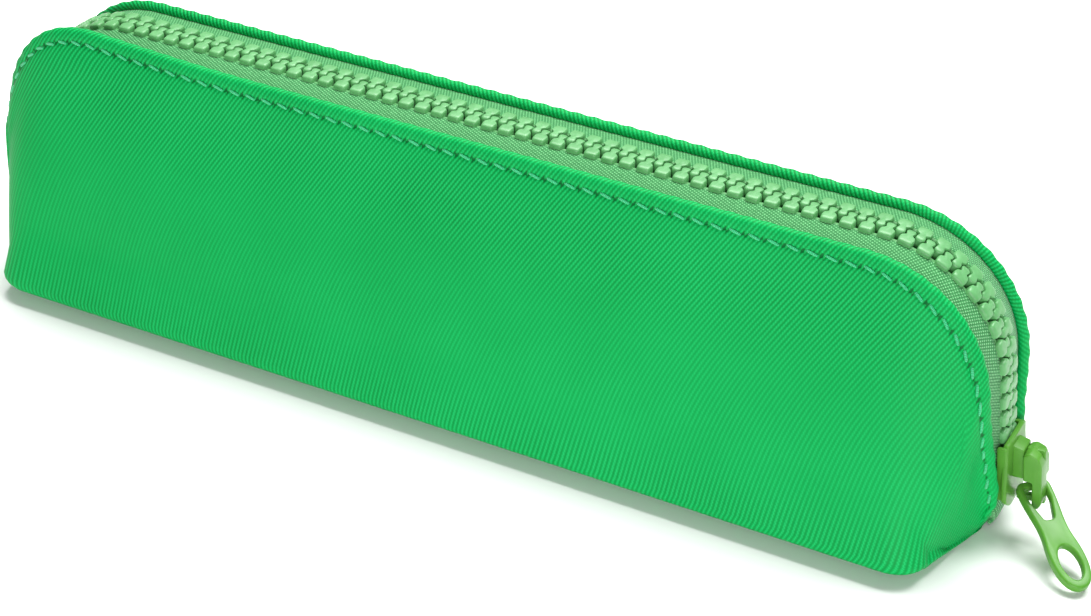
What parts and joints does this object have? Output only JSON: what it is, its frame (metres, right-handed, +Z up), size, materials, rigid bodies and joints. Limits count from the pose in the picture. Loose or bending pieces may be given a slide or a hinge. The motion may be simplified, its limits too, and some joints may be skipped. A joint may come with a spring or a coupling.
{
  "type": "zip pencil pouch",
  "caption": "Slim zipped fabric pencil pouch with a boxed base, round upper corners, a chunky moulded-tooth zip over the top and a slider with a swinging pull at one end.",
  "frame": {"origin": "centre of the base's underside, on the surface that the pouch stands on", "axes": "+X along the pouch towards the end where the slider rests, -Y the front, +Z up"},
  "size_m": [0.2404, 0.057, 0.0564],
  "materials": {
    "shell_fabric": "ribbed nylon twill with a soft sheen",
    "lining_fabric": "smooth plain-weave nylon",
    "zip_tape": "woven herringbone tape",
    "zip_teeth": "satin moulded plastic",
    "thread": "twisted polyester thread",
    "slider_metal": "semi-gloss enamel on die-cast zinc"
  },
  "bodies": {
    "pouch": {"front_panel": "shell_fabric", "back_panel": "shell_fabric", "front_lining": "lining_fabric", "back_lining": "lining_fabric", "front_zip_tape": "zip_tape", "back_zip_tape": "zip_tape", "front_teeth": "zip_teeth", "back_teeth": "zip_teeth", "front_sliding_teeth": "zip_teeth", "back_sliding_teeth": "zip_teeth", "front_top_stop": "zip_teeth", "back_top_stop": "zip_teeth", "bottom_stop": "zip_teeth", "right_zip_end_fold": "zip_tape", "left_zip_end_fold": "zip_tape", "front_topstitch": "thread", "back_topstitch": "thread", "base_seam_binding": "zip_tape", "right_gusset_binding": "zip_tape", "left_gusset_binding": "zip_tape"},
    "slider": {"slider_body": "slider_metal", "slider_cap": "slider_metal"},
    "pull": {"pull_tab": "slider_metal"},
    "lock": {"lock_pawl": "slider_metal"}
  },
  "joints": [
    {"name": "slider_slide", "type": "slide", "parent": "pouch", "child": "slider", "axis": [-0.0988, 0, 0.9951], "range_m": [0, 0.014], "deforming": ["front_sliding_teeth", "back_sliding_teeth"]},
    {"name": "pull_swing", "type": "hinge", "parent": "slider", "child": "pull", "pos_m": [0.11396, 0, 0.00953], "axis": [-0.682, -0.7314, 0], "range_deg": [0, 65]},
    {"name": "lock_lift", "type": "slide", "parent": "slider", "child": "lock", "axis": [1, 0, 0], "range_m": [0, 0.0004]}
  ],
  "couplings": [
    {"joint": "lock_lift", "follows": "pull_swing", "m_per_rad": 0.0003}
  ]
}
